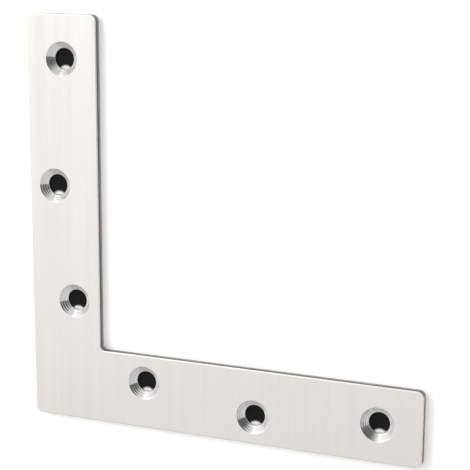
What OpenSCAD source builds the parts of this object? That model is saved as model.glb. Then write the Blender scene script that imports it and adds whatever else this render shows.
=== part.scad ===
// Flat corner brace, blanked from stainless strip in one piece.
// Two equal legs meet at a right angle, with three staggered countersunk
// screw holes in each. One leg is the mirror image of the other.
// The back face lies on z = 0, and the countersinks open upwards.
// The origin is the point on the back face where the legs' centrelines cross.

/* [Plate] */
// Length of each leg along its outer edge
leg_length = 150; // [135:1:300]
// Width of each leg
leg_width = 27.5; // [23:0.5:40]
// Thickness of the plate
thickness = 3; // [2.6:0.1:6]

/* [Corners and edges] */
// Radius of the outer corners, at the heel and at both leg ends
corner_radius = 2.4; // [1.2:0.1:10]
// Radius of the inside corner between the legs
inside_radius = 1.8; // [0.8:0.1:12]
// How far the rolled edge reaches into the front face and down the side
roll_size = 0.45; // [0.2:0.05:0.8]
// Angle between the roll and each face where they meet
roll_crease = 12; // [6:1:30]

/* [Screw holes] */
// Diameter of the straight hole below the countersink
bore_diameter = 7.7; // [6.8:0.1:10]
// Diameter of the countersink at the front face
sink_diameter = 12.5; // [9:0.1:13.4]
// Included angle of the countersink
sink_angle = 90; // [80:1:110]
// Distance from a leg's end to the centre of its end hole
end_margin = 16; // [10:0.25:30]
// Distance along the leg from the end hole to the middle hole
outer_pitch = 46; // [20:1:56]
// Distance along the leg from the middle hole to the hole near the corner
inner_pitch = 42.75; // [20:0.25:53]
// Distance of the middle hole from the leg's centreline, outwards
middle_offset = 3.7; // [0:0.1:5]
// Distance of the hole near the corner from the centreline, inwards
corner_offset = 3.4; // [0:0.1:5]

/* [Hidden] */
$fn = 96;

// A cutter runs this far past the face that it opens on
spare = 0.5;

// Outer edges lie this far behind the origin, and the legs end at reach
half_width = leg_width / 2;
reach = leg_length - half_width;

// Where the straight edges give way to the rounded corners
corner_near = corner_radius - half_width;
corner_far = reach - corner_radius;
corner_side = half_width - corner_radius;
inside_centre = half_width + inside_radius;

// The roll's section is an arc that crosses both faces at roll_crease
roll_inset = roll_size / (1 - tan(roll_crease));
roll_radius = roll_inset / cos(roll_crease);

sink_slope = tan(sink_angle / 2);
sink_depth = (sink_diameter - bore_diameter) / 2 / sink_slope;

// Hole centres of the leg along +X, from its end to the corner. The middle
// hole stands towards the outer edge, and the last one towards the inner.
end_hole = reach - end_margin;
middle_hole = end_hole - outer_pitch;
corner_hole = middle_hole - inner_pitch;
leg_holes = [
    [end_hole, 0],
    [middle_hole, -middle_offset],
    [corner_hole, corner_offset]
];

// What belongs to a leg is drawn on the leg along +X, then mirrored
// across the diagonal for the leg along +Y
module on_both_legs() {
    children();
    mirror([1, -1, 0]) children();
}

// Flat outline of the leg along +X, with the heel and the end rounded
module leg_outline() {
    translate([corner_near, -half_width])
        square([corner_far - corner_near, leg_width]);
    translate([-half_width, -corner_side])
        square([leg_length, 2 * corner_side]);
    for (x = [corner_near, corner_far])
        for (y = [-corner_side, corner_side])
            translate([x, y]) circle(corner_radius);
}

// Both legs, with the web that rounds the inside corner between them
module outline() {
    on_both_legs() leg_outline();
    difference() {
        square(inside_centre);
        translate([inside_centre, inside_centre]) circle(inside_radius);
    }
}

// What the roll takes off an edge, in section: the plate's side is at
// x = 0 with the metal beyond it, and y is the height above the back face
module roll_section() {
    difference() {
        translate([-spare, thickness - roll_inset])
            square(roll_inset + spare);
        translate([roll_inset, thickness - roll_inset])
            circle(roll_radius);
    }
}

// Cut along a straight edge on +X, with the metal on its left
module straight_roll(length) {
    rotate([90, 0, 90]) linear_extrude(length) roll_section();
}

// Cut around the first quarter of an outer corner
module corner_roll() {
    rotate_extrude(angle = 90)
        translate([corner_radius, 0]) mirror([1, 0]) roll_section();
}

// Cut around the inside corner
module inside_roll() {
    translate([inside_centre, inside_centre, 0]) rotate(180)
        rotate_extrude(angle = 90)
            translate([inside_radius, 0]) roll_section();
}

// Cuts for the outer edge, the end and the inner edge of the leg along +X
module leg_roll() {
    translate([corner_near, -half_width, 0])
        straight_roll(corner_far - corner_near);
    translate([corner_far, -corner_side, 0]) rotate(-90) corner_roll();
    translate([reach, -corner_side, 0]) rotate(90)
        straight_roll(2 * corner_side);
    translate([corner_far, corner_side, 0]) corner_roll();
    translate([corner_far, half_width, 0]) rotate(180)
        straight_roll(corner_far - inside_centre);
}

// Countersunk screw hole through the plate
module screw_hole() {
    translate([0, 0, -spare])
        cylinder(h = thickness + 2 * spare, d = bore_diameter);
    translate([0, 0, thickness - sink_depth])
        cylinder(
            h = sink_depth + spare,
            d1 = bore_diameter,
            d2 = sink_diameter + 2 * spare * sink_slope
        );
}

module brace() {
    color([0.82, 0.81, 0.79])
    difference() {
        linear_extrude(thickness) outline();
        on_both_legs() {
            leg_roll();
            for (centre = leg_holes)
                translate(centre) screw_hole();
        }
        translate([corner_near, corner_near, 0]) rotate(180) corner_roll();
        inside_roll();
    }
}

brace();
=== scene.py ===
"""Looks of the flat corner brace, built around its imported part.

The brace lies on its back on a pale floor, and the camera looks down on it
with the photograph's perspective. One closed mesh replaces the CAD plate: the
rolled front edge, the blanked sides, the turned countersinks and the flat
faces between them are surfaces worked out from the part's own sizes.
Sizes are in millimetres until they go into the mesh.
"""

import math

import bpy
import numpy as np
from mathutils import Matrix, Vector
from mathutils.geometry import delaunay_2d_cdt


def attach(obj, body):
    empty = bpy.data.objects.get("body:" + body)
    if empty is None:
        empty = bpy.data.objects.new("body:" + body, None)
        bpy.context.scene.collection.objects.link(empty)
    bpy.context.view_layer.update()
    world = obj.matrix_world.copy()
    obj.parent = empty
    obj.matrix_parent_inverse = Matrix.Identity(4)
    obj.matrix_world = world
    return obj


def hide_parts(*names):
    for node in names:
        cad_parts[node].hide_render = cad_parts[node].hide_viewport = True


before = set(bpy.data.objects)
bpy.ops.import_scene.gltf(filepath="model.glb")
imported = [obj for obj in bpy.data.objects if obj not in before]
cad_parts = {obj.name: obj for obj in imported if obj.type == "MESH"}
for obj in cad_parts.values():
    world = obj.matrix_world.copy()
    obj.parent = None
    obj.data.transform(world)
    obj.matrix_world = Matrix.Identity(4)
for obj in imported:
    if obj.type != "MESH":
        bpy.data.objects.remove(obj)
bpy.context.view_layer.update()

MM = 0.001

# ---------------------------------------------------------------- plate sizes

LEG_LENGTH = 150.0
LEG_WIDTH = 27.5
THICKNESS = 3.0
CORNER_RADIUS = 2.4
INSIDE_RADIUS = 1.8
HALF = LEG_WIDTH / 2
REACH = LEG_LENGTH - HALF

# Screw holes of the leg along +X; the other leg mirrors them
BORE_RADIUS = 3.85
SINK_RADIUS = 6.25
LAND = THICKNESS - (SINK_RADIUS - BORE_RADIUS)
X_LEG_HOLES = np.array([[120.25, 0.0], [74.25, -3.7], [31.5, 3.4]])
HOLES = np.concatenate([X_LEG_HOLES, X_LEG_HOLES[:, ::-1]])

# The roll that blanking leaves on the front edge, and the sides below it
ROLL = 0.38
ROLL_STEPS = 12
FLAT_BESIDE_ROLL = 0.25
BURNISH_ENDS_AT = 1.25
BACK_BEVEL = 0.12

# Turned rings in the countersinks: their spacing down the slope, their depth
RING_PITCH = 0.9
RING_DEPTH = 0.027
RIM_RADIUS = 0.09

# Steps along the outline and round each hole
EDGE_STEP = 1.0
CORNER_STEPS = 14
INSIDE_STEPS = 10
HOLE_STEPS = 112

FACE, SINK, SIDE, ROLLED = 0, 1, 2, 3


# ---------------------------------------------------------------- plate's mesh


def straight(start, end, outward):
    """Even steps from start towards end, which the next piece begins with."""
    count = max(2, round(math.dist(start, end) / EDGE_STEP))
    t = np.arange(count)[:, None] / count
    points = np.array(start) * (1 - t) + np.array(end) * t
    return points, np.tile(np.array(outward, float), (count, 1))


def arc(centre, radius, first, last, steps, side=1):
    """Even steps round a circle, in degrees. Outward points away from its
    centre, or towards it where side is -1."""
    angle = np.radians(first + (last - first) * np.arange(steps) / steps)
    ray = np.stack([np.cos(angle), np.sin(angle)], 1)
    return np.array(centre) + radius * ray, side * ray


def outline_path():
    """One walk round the plate, anticlockwise seen from the front: points,
    outward directions, and the distance walked, with the start once more."""
    near, far = CORNER_RADIUS - HALF, REACH - CORNER_RADIUS
    side, inside = HALF - CORNER_RADIUS, HALF + INSIDE_RADIUS
    pieces = [
        straight((near, -HALF), (far, -HALF), (0, -1)),
        arc((far, -side), CORNER_RADIUS, -90, 0, CORNER_STEPS),
        straight((REACH, -side), (REACH, side), (1, 0)),
        arc((far, side), CORNER_RADIUS, 0, 90, CORNER_STEPS),
        straight((far, HALF), (inside, HALF), (0, 1)),
        arc((inside, inside), INSIDE_RADIUS, 270, 180, INSIDE_STEPS, -1),
        straight((HALF, inside), (HALF, far), (1, 0)),
        arc((side, far), CORNER_RADIUS, 0, 90, CORNER_STEPS),
        straight((side, REACH), (-side, REACH), (0, 1)),
        arc((-side, far), CORNER_RADIUS, 90, 180, CORNER_STEPS),
        straight((-HALF, far), (-HALF, near), (-1, 0)),
        arc((near, near), CORNER_RADIUS, 180, 270, CORNER_STEPS),
    ]
    points = np.concatenate([p for p, _ in pieces])
    outward = np.concatenate([n for _, n in pieces])
    walked = np.linalg.norm(np.roll(points, -1, 0) - points, axis=1)
    return points, outward, np.concatenate([[0], np.cumsum(walked)])


def ripple(walked, turns):
    """Smooth unevenness between about -1 and 1 that closes on itself: a sum
    of sines, each with a whole number of waves to the whole walk."""
    phase = 2 * np.pi * walked / walked[-1]
    waves = np.array(turns)
    offsets = waves * 1.7 + 0.6
    return np.sin(phase[:, None] * waves + offsets).sum(1) / len(turns) ** 0.5


def edge_profile():
    """The edge in section, from the front face down to the back face: inset
    from the outline and height. The roll is a quarter of a circle that meets
    both face and side without a crease; the torn part below the burnished
    band leans in a little, and the back edge is bevelled."""
    turn = np.linspace(0, np.pi / 2, ROLL_STEPS + 1)
    inset = [ROLL + FLAT_BESIDE_ROLL, *(ROLL * (1 - np.sin(turn)))]
    height = [THICKNESS, *(THICKNESS - ROLL * (1 - np.cos(turn)))]
    inset += [0.0, 0.0, 0.0, 0.035, 0.05, 0.06, 0.06 + BACK_BEVEL]
    height += [2.0, 1.6, BURNISH_ENDS_AT, 1.12, 0.6, BACK_BEVEL, 0.0]
    inset += [0.06 + BACK_BEVEL + FLAT_BESIDE_ROLL]
    height += [0.0]
    return np.array(inset), np.array(height)


def hole_profile():
    """A screw hole in section, from the front face down to the back face:
    radius and height. The rim is a small arc between face and cone. On the
    cone, rings stand out along its normal as a sine of the distance down the
    slope, fading out at both ends."""
    root = math.sqrt(0.5)
    turn = np.linspace(0, np.pi / 4, 5)
    bulge = RIM_RADIUS * math.tan(np.pi / 8)
    rim_r = SINK_RADIUS + bulge - RIM_RADIUS * np.sin(turn)
    rim_z = THICKNESS - RIM_RADIUS * (1 - np.cos(turn))
    slope = (SINK_RADIUS - BORE_RADIUS) / root
    down = np.linspace(0.16, slope - 0.08, 46)
    fade = np.minimum(1, np.minimum(down - 0.16, slope - 0.08 - down) / 0.25)
    wave = 2 * np.pi * (down - 0.1) / RING_PITCH
    proud = -RING_DEPTH * fade * (0.5 - 0.5 * np.cos(wave))
    cone_r = SINK_RADIUS - root * down - root * proud
    cone_z = THICKNESS - root * down + root * proud
    land_r = [BORE_RADIUS + 0.02, BORE_RADIUS, BORE_RADIUS, BORE_RADIUS]
    land_z = [LAND + 0.01, LAND - 0.03, 0.35, BACK_BEVEL]
    back_r = [BORE_RADIUS + BACK_BEVEL, BORE_RADIUS + BACK_BEVEL + 0.3]
    radius = [SINK_RADIUS + 0.4, *rim_r, *cone_r, *land_r, *back_r]
    height = [THICKNESS, *rim_z, *cone_z, *land_z, 0.0, 0.0]
    return np.array(radius), np.array(height)


def travelled(a, b):
    """Distance along a section at each of its points."""
    steps = np.hypot(np.diff(a), np.diff(b))
    return np.concatenate([[0], np.cumsum(steps)])


def grid_faces(rows, columns, first, rows_first):
    """Quads of a grid whose rows close on themselves, as vertex numbers, and
    the (row, column) of each corner before the rows wrap round."""
    i, j = np.meshgrid(np.arange(rows), np.arange(columns - 1), indexing="ij")
    i, j = i.ravel(), j.ravel()
    corner_i = [i, i + 1, i + 1, i] if rows_first else [i, i, i + 1, i + 1]
    corner_j = [j, j, j + 1, j + 1] if rows_first else [j, j + 1, j + 1, j]
    corner_i, corner_j = np.stack(corner_i, 1), np.stack(corner_j, 1)
    return first + (corner_i % rows) * columns + corner_j, corner_i, corner_j


def edge_band(first):
    """The edge's section carried along the outline. Its marks: on the roll
    the brushing goes on as if the face were unrolled, and on the sides marks
    run along the edge."""
    points, outward, walked = outline_path()
    inset, height = edge_profile()
    rows, columns = len(points), len(inset)
    uneven = ripple(walked, [7, 13, 22, 37, 61])[:-1, None]
    torn = ripple(walked, [41, 83, 127, 170])[:-1, None]
    shift = np.zeros(columns)
    shift[-6:-4] = 1.0
    rough = np.zeros(columns)
    rough[-5:-3] = [0.35, 1.0]
    z = height + 0.14 * uneven * shift
    d = inset + 0.012 * torn * rough
    flat = points[:, None] - d[..., None] * outward[:, None]
    vertices = np.concatenate([flat, z[..., None]], 2).reshape(-1, 3)
    faces, i, j = grid_faces(rows, columns, first, False)
    along = travelled(inset, height)
    start = points - inset[0] * outward
    unrolled = start[i % rows] + along[j][..., None] * outward[i % rows]
    side_marks = np.stack([walked[i], height[j]], 2)
    column = j.min(1)
    on_side = (column >= ROLL_STEPS + 1) & (column < columns - 2)
    marks = np.where(on_side[:, None, None], side_marks, unrolled[..., ::-1])
    finish = np.where(on_side, SIDE, FACE)
    finish[(column >= 1) & (column <= ROLL_STEPS)] = ROLLED
    loops = first + np.arange(rows) * columns
    return vertices, faces, marks, finish, loops, loops + columns - 1


def screw_hole(centre, first):
    """The hole's section turned about its axis. Its marks run round it."""
    radius, height = hole_profile()
    rows, columns = HOLE_STEPS, len(radius)
    angle = 2 * np.pi * np.arange(rows + 1) / rows
    ray = np.stack([np.cos(angle), np.sin(angle)], 1)
    flat = centre + radius[None, :, None] * ray[:rows, None]
    z = np.broadcast_to(height[None, :, None], (rows, columns, 1))
    vertices = np.concatenate([flat, z], 2).reshape(-1, 3)
    faces, i, j = grid_faces(rows, columns, first, True)
    round_marks = np.stack([angle[i] * 5.0, travelled(radius, height)[j]], 2)
    face_marks = (centre + radius[j][..., None] * ray[i])[..., ::-1]
    column = j.min(1)
    on_face = (column < 1) | (column >= columns - 2)
    marks = np.where(on_face[:, None, None], face_marks, round_marks)
    finish = np.where(on_face, FACE, SINK)
    loops = first + np.arange(rows) * columns
    return vertices, faces, marks, finish, loops, loops + columns - 1


def flat_face(vertices, loops, upwards):
    """The flat face between the outline's loop and the holes' loops, as
    triangles on those loops' own vertices. A triangle inside a hole has all
    its corners on that hole's loop, and goes."""
    chain = np.concatenate(loops)
    points = vertices[chain, :2]
    starts = np.cumsum([0] + [len(loop) for loop in loops])
    edges = []
    for a, b in zip(starts, starts[1:]):
        ring = np.arange(a, b)
        edges += np.stack([ring, np.roll(ring, -1)], 1).tolist()
    made = delaunay_2d_cdt([Vector(p) for p in points], edges, [], 1, 1e-7)
    sources = np.array([own[0] for own in made[3]])
    triangles = sources[np.array(made[2])]
    loop = np.repeat(np.arange(len(loops)), [len(loop) for loop in loops])
    on = loop[triangles]
    triangles = triangles[(on[:, 0] == 0) | np.ptp(on, axis=1).astype(bool)]
    corner = points[triangles]
    a, b = corner[:, 1] - corner[:, 0], corner[:, 2] - corner[:, 0]
    clockwise = a[:, 0] * b[:, 1] - a[:, 1] * b[:, 0] < 0
    turn = clockwise if upwards else ~clockwise
    triangles[turn] = triangles[turn][:, ::-1]
    return chain[triangles], points[triangles][..., ::-1]


def brace_mesh():
    """Edge, holes and faces joined on shared vertices into one closed mesh,
    with a UV map in millimetres: along the surface's marks, then across."""
    parts = [edge_band(0)]
    for centre in HOLES:
        parts.append(screw_hole(centre, sum(len(p[0]) for p in parts)))
    vertices = np.concatenate([p[0] for p in parts])
    quads = np.concatenate([p[1] for p in parts])
    front, front_marks = flat_face(vertices, [p[4] for p in parts], True)
    back, back_marks = flat_face(vertices, [p[5] for p in parts], False)
    triangles = np.concatenate([front, back])
    marks = [p[2].reshape(-1, 2) for p in parts]
    marks += [front_marks.reshape(-1, 2), back_marks.reshape(-1, 2)]
    finish = [p[3] for p in parts] + [np.full(len(triangles), FACE)]
    mesh = bpy.data.meshes.new("brace_plate")
    faces = quads.tolist() + triangles.tolist()
    mesh.from_pydata((vertices * MM).tolist(), [], faces)
    layer = mesh.uv_layers.new(name="marks")
    layer.data.foreach_set("uv", np.concatenate(marks).astype("f").ravel())
    numbers = np.concatenate(finish).astype(np.int32)
    mesh.polygons.foreach_set("material_index", numbers)
    mesh.polygons.foreach_set("use_smooth", np.ones(len(faces), bool))
    mesh.update()
    return mesh


# ---------------------------------------------------------------- materials


def colour(hexcode):
    """An sRGB hex colour as linear RGBA."""
    parts = [int(hexcode[i : i + 2], 16) / 255 for i in (1, 3, 5)]
    linear = [
        p / 12.92 if p <= 0.04045 else ((p + 0.055) / 1.055) ** 2.4 for p in parts
    ]
    return (*linear, 1.0)


def add(tree, kind, values=None, links=None, **settings):
    """One node, with its settings, its sockets' values and its links."""
    node = tree.nodes.new(kind)
    for name, value in settings.items():
        setattr(node, name, value)
    for socket, value in (values or {}).items():
        node.inputs[socket].default_value = value
    for socket, source in (links or {}).items():
        tree.links.new(source, node.inputs[socket])
    return node


def eased(tree, base, more, *edges):
    """base plus more, eased in over each edge: a value, where along it the
    change begins, and where it is full. Each edge is a smooth step, and they
    are multiplied. base and more are numbers or sockets."""
    share = None
    for value, begins, full in edges:
        step = add(
            tree,
            "ShaderNodeMapRange",
            {"From Min": begins, "From Max": full},
            {"Value": value},
            interpolation_type="SMOOTHSTEP",
        ).outputs["Result"]
        if share is not None:
            both = {0: share, 1: step}
            both = add(tree, "ShaderNodeMath", links=both, operation="MULTIPLY")
            step = both.outputs["Value"]
        share = step
    values, links = {}, {0: share}
    for socket, source in ((1, more), (2, base)):
        (values if isinstance(source, float) else links)[socket] = source
    total = add(tree, "ShaderNodeMath", values, links, operation="MULTIPLY_ADD")
    return total.outputs["Value"]


def new_material(name):
    """An empty material with its output, and its shader's tree."""
    material = bpy.data.materials.new(name)
    material.use_nodes = True
    material.node_tree.nodes.clear()
    return material, material.node_tree


def streaks(tree, scale, detail=3.0):
    """Noise over the marks' own coordinates, stretched along them. scale is
    the number of lengths to the millimetre, along the marks and across."""
    place = add(tree, "ShaderNodeUVMap", uv_map="marks")
    stretch = add(
        tree,
        "ShaderNodeMapping",
        {"Scale": (scale[0], scale[1], 1.0)},
        {"Vector": place.outputs["UV"]},
    )
    return add(
        tree,
        "ShaderNodeTexNoise",
        {"Scale": 1.0, "Detail": detail, "Roughness": 0.6},
        {"Vector": stretch.outputs["Vector"]},
        noise_dimensions="2D",
    )


def brushed_stainless():
    """Stainless steel strip, belt brushed along the Y leg: reflections are
    soft, and softer across the brushing than along it."""
    material, tree = new_material("stainless_brushed")
    # Belt marks are about 0.05 mm apart; drawn 0.4 mm apart so that they show
    fine = streaks(tree, (0.02, 2.5))
    # Bands of slightly stronger brushing, a few millimetres wide
    bands = streaks(tree, (0.006, 0.3), 2.0)
    blend = add(
        tree,
        "ShaderNodeMath",
        {1: 0.5, 2: 0.0},
        {0: fine.outputs["Fac"], 2: bands.outputs["Fac"]},
        operation="MULTIPLY_ADD",
    )
    rough = add(
        tree,
        "ShaderNodeMapRange",
        {"From Min": 0.5, "From Max": 1.0, "To Min": 0.30, "To Max": 0.40},
        {"Value": blend.outputs["Value"]},
    )
    tint = add(
        tree,
        "ShaderNodeMapRange",
        {"From Min": 0.5, "From Max": 1.0},
        {"Value": blend.outputs["Value"]},
    )
    shade = add(
        tree,
        "ShaderNodeMix",
        {6: colour("#E6E2DD"), 7: colour("#ECE8E4")},
        {0: tint.outputs["Result"]},
        data_type="RGBA",
    )
    bump = add(
        tree,
        "ShaderNodeBump",
        {"Strength": 0.12, "Distance": 0.00001},
        {"Height": fine.outputs["Fac"]},
    )
    tangent = add(tree, "ShaderNodeTangent", direction_type="UV_MAP", uv_map="marks")
    shader = add(
        tree,
        "ShaderNodeBsdfPrincipled",
        {"Metallic": 1.0, "Anisotropic": 0.85, "Anisotropic Rotation": 0.25},
        {
            "Base Color": shade.outputs[2],
            "Roughness": rough.outputs["Result"],
            "Normal": bump.outputs["Normal"],
            "Tangent": tangent.outputs["Tangent"],
        },
    )
    add(tree, "ShaderNodeOutputMaterial", links={"Surface": shader.outputs["BSDF"]})
    return material


def rolled_stainless():
    """Stainless steel drawn round the die's edge: the brushing is pressed
    smooth, so it is brighter and glossier than the face beside it."""
    material, tree = new_material("stainless_rolled")
    # What is left of the brushing, as coarse as on the face
    fine = streaks(tree, (0.02, 2.5))
    rough = add(
        tree,
        "ShaderNodeMapRange",
        {"From Min": 0.3, "From Max": 0.7, "To Min": 0.20, "To Max": 0.28},
        {"Value": fine.outputs["Fac"]},
    )
    shade = add(
        tree,
        "ShaderNodeMix",
        {6: colour("#E6E3DF"), 7: colour("#EEEBE7")},
        {0: fine.outputs["Fac"]},
        data_type="RGBA",
    )
    shader = add(
        tree,
        "ShaderNodeBsdfPrincipled",
        {"Metallic": 1.0},
        {"Base Color": shade.outputs[2], "Roughness": rough.outputs["Result"]},
    )
    add(tree, "ShaderNodeOutputMaterial", links={"Surface": shader.outputs["BSDF"]})
    return material


def turned_stainless():
    """Stainless steel cut by a countersink: bright, with fine tool marks
    round the hole that blur reflections up and down the slope."""
    material, tree = new_material("stainless_turned")
    # Tool marks are about 0.1 mm apart, drawn at 0.25 mm
    fine = streaks(tree, (0.08, 4.0))
    rough = add(
        tree,
        "ShaderNodeMapRange",
        {"From Min": 0.35, "From Max": 0.65, "To Min": 0.10, "To Max": 0.18},
        {"Value": fine.outputs["Fac"]},
    )
    # Where the tool chattered or ran dry, rings about 0.8 mm wide are duller
    rings = streaks(tree, (0.03, 1.25), 1.0)
    shade = add(
        tree,
        "ShaderNodeMix",
        {6: colour("#E6E5E3"), 7: colour("#FAF9F7")},
        {0: eased(tree, 0.0, 1.0, (rings.outputs["Fac"], 0.36, 0.64))},
        data_type="RGBA",
    )
    bump = add(
        tree,
        "ShaderNodeBump",
        {"Strength": 0.2, "Distance": 0.00001},
        {"Height": fine.outputs["Fac"]},
    )
    tangent = add(tree, "ShaderNodeTangent", direction_type="UV_MAP", uv_map="marks")
    shader = add(
        tree,
        "ShaderNodeBsdfPrincipled",
        {"Metallic": 1.0, "Anisotropic": 0.5, "Anisotropic Rotation": 0.25},
        {
            "Base Color": shade.outputs[2],
            "Roughness": rough.outputs["Result"],
            "Normal": bump.outputs["Normal"],
            "Tangent": tangent.outputs["Tangent"],
        },
    )
    add(tree, "ShaderNodeOutputMaterial", links={"Surface": shader.outputs["BSDF"]})
    return material


def blanked_stainless():
    """Stainless steel cut by the blanking die: dull grey, with scratches along the
    edge and a rougher torn part towards the back. The burnished band near the front
    face is coloured darker, which is painted shade under the roll."""
    material, tree = new_material("stainless_blanked")
    # Scratches run for some 15 mm and are about 0.15 mm apart
    fine = streaks(tree, (0.06, 6.0))
    # Burnished band: its darker colour is painted shade under the roll
    burnished = add(
        tree,
        "ShaderNodeMix",
        {6: colour("#605E5C"), 7: colour("#8A8885")},
        {0: fine.outputs["Fac"]},
        data_type="RGBA",
    )
    torn = add(
        tree,
        "ShaderNodeMix",
        {6: colour("#929090"), 7: colour("#BEBCB9")},
        {0: fine.outputs["Fac"]},
        data_type="RGBA",
    )
    # The marks' second coordinate is the height above the back face
    place = add(tree, "ShaderNodeUVMap", uv_map="marks")
    parts = add(tree, "ShaderNodeSeparateXYZ", links={"Vector": place.outputs["UV"]})
    # Darker towards the front face, from 1.1 to 1.5 mm up: painted shade under the
    # roll
    shade = add(
        tree,
        "ShaderNodeMix",
        links={
            0: eased(tree, 0.0, 1.0, (parts.outputs["Y"], 1.1, 1.5)),
            6: torn.outputs[2],
            7: burnished.outputs[2],
        },
        data_type="RGBA",
    )
    bump = add(
        tree,
        "ShaderNodeBump",
        {"Strength": 0.4, "Distance": 0.00003},
        {"Height": fine.outputs["Fac"]},
    )
    tangent = add(tree, "ShaderNodeTangent", direction_type="UV_MAP", uv_map="marks")
    shader = add(
        tree,
        "ShaderNodeBsdfPrincipled",
        {
            "Metallic": 1.0,
            "Roughness": 0.5,
            "Anisotropic": 0.8,
            "Anisotropic Rotation": 0.25,
        },
        {
            "Base Color": shade.outputs[2],
            "Normal": bump.outputs["Normal"],
            "Tangent": tangent.outputs["Tangent"],
        },
    )
    add(tree, "ShaderNodeOutputMaterial", links={"Surface": shader.outputs["BSDF"]})
    return material


# In the order of FACE, SINK, SIDE and ROLLED
MAKERS = (brushed_stainless, turned_stainless, blanked_stainless, rolled_stainless)


# ---------------------------------------------------------------- the brace


def make_brace():
    """The brace's own mesh in place of the CAD plate."""
    brace = bpy.data.objects.new("brace_plate", brace_mesh())
    bpy.context.scene.collection.objects.link(brace)
    for make in MAKERS:
        brace.data.materials.append(make())
    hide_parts("brace")
    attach(brace, "root")


# ---------------------------------------------------------------- floor


def background_rays(tree):
    """1 for rays from the camera and for mirrored and refracted ones."""
    path = add(tree, "ShaderNodeLightPath")
    first = add(
        tree,
        "ShaderNodeMath",
        links={
            0: path.outputs["Is Camera Ray"],
            1: path.outputs["Is Glossy Ray"],
        },
        operation="MAXIMUM",
    )
    return add(
        tree,
        "ShaderNodeMath",
        links={
            0: first.outputs["Value"],
            1: path.outputs["Is Transmission Ray"],
        },
        operation="MAXIMUM",
    )


def one_sided(tree, shader):
    """The shader seen from above, and clear from below."""
    back = add(tree, "ShaderNodeNewGeometry")
    clear = add(tree, "ShaderNodeBsdfTransparent")
    sided = add(
        tree,
        "ShaderNodeMixShader",
        links={0: back.outputs["Backfacing"], 1: shader, 2: clear.outputs["BSDF"]},
    )
    add(tree, "ShaderNodeOutputMaterial", links={"Surface": sided.outputs["Shader"]})


def pale_floor():
    """Matt pale paint, lifted by a plain amount towards white for the camera
    and in reflections, so that it keeps the plate's shadow."""
    material, tree = new_material("floor_pale")
    matt = add(tree, "ShaderNodeBsdfDiffuse", {"Color": colour("#F0F0EF")})
    lift = add(
        tree,
        "ShaderNodeMath",
        {1: 0.18},
        {0: background_rays(tree).outputs["Value"]},
        operation="MULTIPLY",
    )
    glow = add(
        tree,
        "ShaderNodeEmission",
        {"Color": (1, 1, 1, 1)},
        {"Strength": lift.outputs["Value"]},
    )
    both = add(
        tree,
        "ShaderNodeAddShader",
        links={0: matt.outputs["BSDF"], 1: glow.outputs["Emission"]},
    )
    one_sided(tree, both.outputs["Shader"])
    return material


def painted_hole_floor():
    """Floor under the screw holes, in painted shade: dark grey to the camera, with a
    painted patch of light where light would fall through the hole. In the
    countersinks' reflections it is a painted reflection, mid grey, lighter towards the
    heel's side and black beside the hole's wall. The marks are millimetres from the
    hole's axis."""
    material, tree = new_material("floor_painted_shade_and_light")
    place = add(tree, "ShaderNodeUVMap", uv_map="marks").outputs["UV"]
    lean = add(
        tree,
        "ShaderNodeVectorMath",
        {1: (0.4, -1.0, 0.0)},
        {0: place},
        operation="DOT_PRODUCT",
    ).outputs["Value"]
    spread = add(
        tree, "ShaderNodeVectorMath", links={0: place}, operation="LENGTH"
    ).outputs["Value"]
    # Painted reflection level: mid grey, lighter towards the heel's side, black beside
    # the hole's wall
    level = eased(tree, 0.53, 0.27, (lean, -0.3, 0.6))
    level = eased(tree, 0.0, level, (spread, 3.7, 3.2))
    path = add(tree, "ShaderNodeLightPath")
    # The painted light patch lies on the -Y side, where it fills a circle round this
    # centre
    painted_patch_distance = add(
        tree,
        "ShaderNodeVectorMath",
        {1: (0.2, -5.3, 0.0)},
        {0: place},
        operation="DISTANCE",
    ).outputs["Value"]
    painted_light_patch = add(
        tree,
        "ShaderNodeMix",
        {6: colour("#1E1E1D"), 7: colour("#E6E4E0")},
        {0: eased(tree, 0.0, 1.0, (painted_patch_distance, 3.35, 2.2))},
        data_type="RGBA",
    )
    # To the camera: painted shade, dark grey, with the painted light patch
    dark = add(tree, "ShaderNodeBsdfDiffuse", links={"Color": painted_light_patch.outputs[2]})
    # In reflections: the painted reflection level, as emission
    mirrored = add(
        tree, "ShaderNodeEmission", {"Color": (1, 1, 1, 1)}, {"Strength": level}
    )
    seen = add(
        tree,
        "ShaderNodeMixShader",
        links={
            0: path.outputs["Is Camera Ray"],
            1: mirrored.outputs["Emission"],
            2: dark.outputs["BSDF"],
        },
    )
    one_sided(tree, seen.outputs["Shader"])
    return material


def floor_piece(name, rings, material):
    """Flat polygons just below the plate's back, each given by its corners."""
    drop = -0.02 * MM
    vertices, faces = [], []
    for ring in rings:
        first = len(vertices)
        vertices += [(x * MM, y * MM, drop) for x, y in ring]
        faces.append(tuple(range(first, first + len(ring))))
    mesh = bpy.data.meshes.new(name)
    mesh.from_pydata(vertices, [], faces)
    mesh.materials.append(material)
    piece = bpy.data.objects.new(name, mesh)
    bpy.context.scene.collection.objects.link(piece)
    return mesh


def make_floor():
    """A pale floor round the plate, from 1 mm inside its outline, and a disc of
    painted shade under each screw hole. It's open under the rest of the plate, whose
    back face then gets its light from below."""
    far = 3000.0
    low, high, end = 1.0 - HALF, HALF - 1.0, REACH - 1.0
    boxes = [
        (-far, -far, low, far),
        (low, -far, far, low),
        (end, low, far, high),
        (high, high, far, far),
        (low, end, high, far),
    ]
    corners = [[(a, b), (c, b), (c, d), (a, d)] for a, b, c, d in boxes]
    floor_piece("floor", corners, pale_floor())
    disc = arc((0, 0), BORE_RADIUS + BACK_BEVEL, 0, 360, 48)[0]
    # Discs of painted shade, with a painted light patch, under the holes
    painted_shade_discs = floor_piece("painted_shade_under_holes", disc + HOLES[:, None], painted_hole_floor())
    layer = painted_shade_discs.uv_layers.new(name="marks")
    marks = np.tile(disc, (len(HOLES), 1))
    layer.data.foreach_set("uv", marks.astype("f").ravel())


# ---------------------------------------------------------------- light


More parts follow.
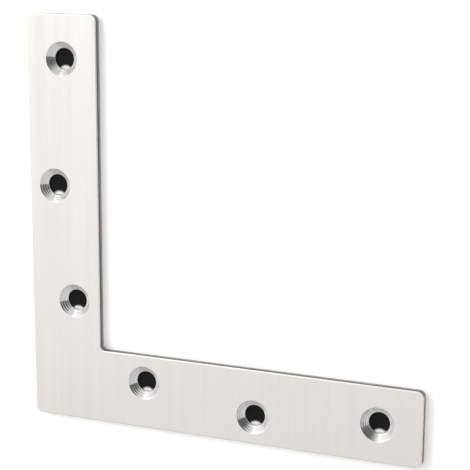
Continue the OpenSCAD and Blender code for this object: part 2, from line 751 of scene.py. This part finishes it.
def glow_towards(tree, level, direction, toward, sharpness, more):
    """level, and more light towards a direction: the cosine to it, where it
    is above zero, to a power, times more."""
    unit = Vector(toward).normalized()
    cosine = add(
        tree,
        "ShaderNodeVectorMath",
        {1: unit},
        {0: direction},
        operation="DOT_PRODUCT",
    )
    above = add(
        tree,
        "ShaderNodeMath",
        {1: 0.0},
        {0: cosine.outputs["Value"]},
        operation="MAXIMUM",
    )
    power = add(
        tree,
        "ShaderNodeMath",
        {1: sharpness},
        {0: above.outputs["Value"]},
        operation="POWER",
    )
    values, links = {1: more}, {0: power.outputs["Value"]}
    (values if isinstance(level, float) else links)[2] = level
    total = add(tree, "ShaderNodeMath", values, links, operation="MULTIPLY_ADD")
    return total.outputs["Value"]


def make_world():
    """A plain studio: soft light all round, strongest above and to the left,
    and a white wall low behind the legs' far ends, which the countersinks and
    edges mirror. The camera sees white."""
    world = bpy.data.worlds.new("studio")
    bpy.context.scene.world = world
    world.use_nodes = True
    tree = world.node_tree
    tree.nodes.clear()
    place = add(tree, "ShaderNodeTexCoord").outputs["Generated"]
    parts = add(tree, "ShaderNodeSeparateXYZ", links={"Vector": place})
    bearing = add(
        tree,
        "ShaderNodeMath",
        links={0: parts.outputs["Y"], 1: parts.outputs["X"]},
        operation="ARCTAN2",
    ).outputs["Value"]
    across, height = parts.outputs["X"], parts.outputs["Z"]
    level = 0.705
    # Towards, how sharply, and how much light more
    lamps = (
        ((-0.55, -0.16, 0.82), 13.0, 0.58),
        ((0.12, -0.15, 0.98), 20.0, 0.26),
        ((-0.33, 0.90, 0.27), 50.0, 0.30),
    )
    for toward, sharpness, more in lamps:
        level = glow_towards(tree, level, place, toward, sharpness, more)
    # A panel over the Y leg, for the outer edges
    panel = (parts.outputs["Y"], -0.1, 0.35), (across, 0.45, 0.1), (height, 0.35, 0.6)
    level = eased(tree, level, 0.35, *panel)
    # Two steps in the panel that the faces mirror, brighter towards the top
    slant = add(
        tree,
        "ShaderNodeMath",
        links={0: parts.outputs["Y"], 1: height},
        operation="DIVIDE",
    ).outputs["Value"]
    mirrored = (height, 0.5, 0.7), (across, -0.22, -0.38)
    level = eased(tree, level, 0.13, (slant, -0.33, -0.27), *mirrored)
    level = eased(tree, level, 0.45, (slant, -0.115, -0.05), *mirrored)
    # The white wall, between two bearings and up to a height
    first = bearing, math.radians(99), math.radians(116)
    last = bearing, math.radians(175), math.radians(155)
    level = eased(tree, level, 0.50, first, last, (height, 0.55, 0.42))
    # A darker corner at the heel's side, for the roll of the outer edge there
    lean = add(
        tree,
        "ShaderNodeVectorMath",
        {1: (0.5, 1.0, 0.0)},
        {0: place},
        operation="DOT_PRODUCT",
    ).outputs["Value"]
    less = add(tree, "ShaderNodeMath", {1: -0.42}, {0: level}, operation="MULTIPLY")
    level = eased(
        tree,
        level,
        less.outputs["Value"],
        (lean, -0.64, -0.90),
        (height, 0.8, 0.6),
        (height, -0.02, 0.12),
        (across, -0.08, -0.20),
    )
    light = add(
        tree,
        "ShaderNodeBackground",
        {"Color": (1, 1, 1, 1)},
        {"Strength": level},
    )
    white = add(tree, "ShaderNodeBackground", {"Color": (1, 1, 1, 1), "Strength": 1.0})
    path = add(tree, "ShaderNodeLightPath")
    seen = add(
        tree,
        "ShaderNodeMixShader",
        links={
            0: path.outputs["Is Camera Ray"],
            1: light.outputs["Background"],
            2: white.outputs["Background"],
        },
    )
    add(tree, "ShaderNodeOutputWorld", links={"Surface": seen.outputs["Shader"]})


def flag_material():
    """Black card: it covers fully from 3 to 42 degrees round its cylinder and
    thins out towards 90, where it also stands lower. Its foot is wider."""
    material, tree = new_material("card_black")
    place = add(tree, "ShaderNodeTexCoord").outputs["Object"]
    parts = add(tree, "ShaderNodeSeparateXYZ", links={"Vector": place})
    bearing = add(
        tree,
        "ShaderNodeMath",
        links={0: parts.outputs["Y"], 1: parts.outputs["X"]},
        operation="ARCTAN2",
    ).outputs["Value"]
    height = parts.outputs["Z"]
    foot = eased(tree, bearing, math.radians(16), (height, 110.0 * MM, 60.0 * MM))
    foot = eased(tree, foot, math.radians(50), (height, 60.0 * MM, 30.0 * MM))
    bearings = math.radians(30), math.radians(55)
    fall = eased(tree, height, 60.0 * MM, (bearing, *bearings))
    cover = eased(
        tree,
        0.0,
        1.0,
        (foot, math.radians(0), math.radians(3)),
        (bearing, math.radians(90), math.radians(42)),
        (fall, 297.0 * MM, 273.0 * MM),
    )
    level = eased(tree, 0.21, -0.12, (height, 90.0 * MM, 160.0 * MM))
    dark = add(
        tree, "ShaderNodeEmission", {"Color": (1, 1, 1, 1)}, {"Strength": level}
    )
    clear = add(tree, "ShaderNodeBsdfTransparent")
    card = add(
        tree,
        "ShaderNodeMixShader",
        links={0: cover, 1: clear.outputs["BSDF"], 2: dark.outputs["Emission"]},
    )
    add(tree, "ShaderNodeOutputMaterial", links={"Surface": card.outputs["Shader"]})
    return material


def make_flag():
    """A black card on the right, part of a cylinder 350 mm round the plate's
    crossing point, which only reflections show."""
    angle = np.radians(np.linspace(-70, 95, 166))
    ring = 350.0 * np.stack([np.cos(angle), np.sin(angle)], 1)
    rows = [np.column_stack([ring, np.full(len(ring), z)]) for z in (0.0, 320.0)]
    i = np.arange(len(ring) - 1)
    faces = np.stack([i + 1, i, i + len(ring), i + 1 + len(ring)], 1)
    mesh = bpy.data.meshes.new("flag")
    mesh.from_pydata((np.concatenate(rows) * MM).tolist(), [], faces.tolist())
    mesh.materials.append(flag_material())
    flag = bpy.data.objects.new("flag", mesh)
    bpy.context.scene.collection.objects.link(flag)
    flag.visible_camera = False
    flag.visible_diffuse = False
    flag.visible_transmission = False
    flag.visible_shadow = False


def make_key():
    """A softbox up on the left, a little behind, for the plate's shadow."""
    data = bpy.data.lights.new("key_softbox", "AREA")
    data.shape = "RECTANGLE"
    data.size, data.size_y = 0.5, 0.5
    data.energy = 5.0
    key = bpy.data.objects.new("key_softbox", data)
    bpy.context.scene.collection.objects.link(key)
    key.visible_glossy = False
    aim = Vector((0.05, 0.05, 0.0))
    back = Vector((-0.70, 0.42, 0.58)).normalized()
    key.location = aim + back * 1.1
    key.rotation_mode = "QUATERNION"
    key.rotation_quaternion = (-back).to_track_quat("-Z", "Y")


# ---------------------------------------------------------------- camera


def make_camera():
    """The camera fitted to the photograph: rows of its turn are its right,
    down and forward directions, and its place is worked out in millimetres
    from the plate's crossing point. The focal length is 1403 pixels of 470."""
    right = (0.9266976, 0.0057628, -0.3757637)
    down = (0.0865306, -0.9762885, 0.1984267)
    forward = (-0.3657103, -0.2163966, -0.9052229)
    place = Vector((245.409, 167.593, 444.339)) * MM
    data = bpy.data.cameras.new("camera")
    data.sensor_width = 36.0
    data.lens = 1403.0 * 36.0 / 470.0
    data.clip_start, data.clip_end = 0.01, 20.0
    camera = bpy.data.objects.new("camera", data)
    bpy.context.scene.collection.objects.link(camera)
    turn = Matrix((right, [-d for d in down], [-f for f in forward])).transposed()
    camera.matrix_world = Matrix.Translation(place) @ turn.to_4x4()
    bpy.context.scene.camera = camera


# ---------------------------------------------------------------- the scene

make_camera()
make_brace()
make_floor()
make_world()
make_flag()
make_key()

bpy.context.scene.view_settings.view_transform = "Standard"
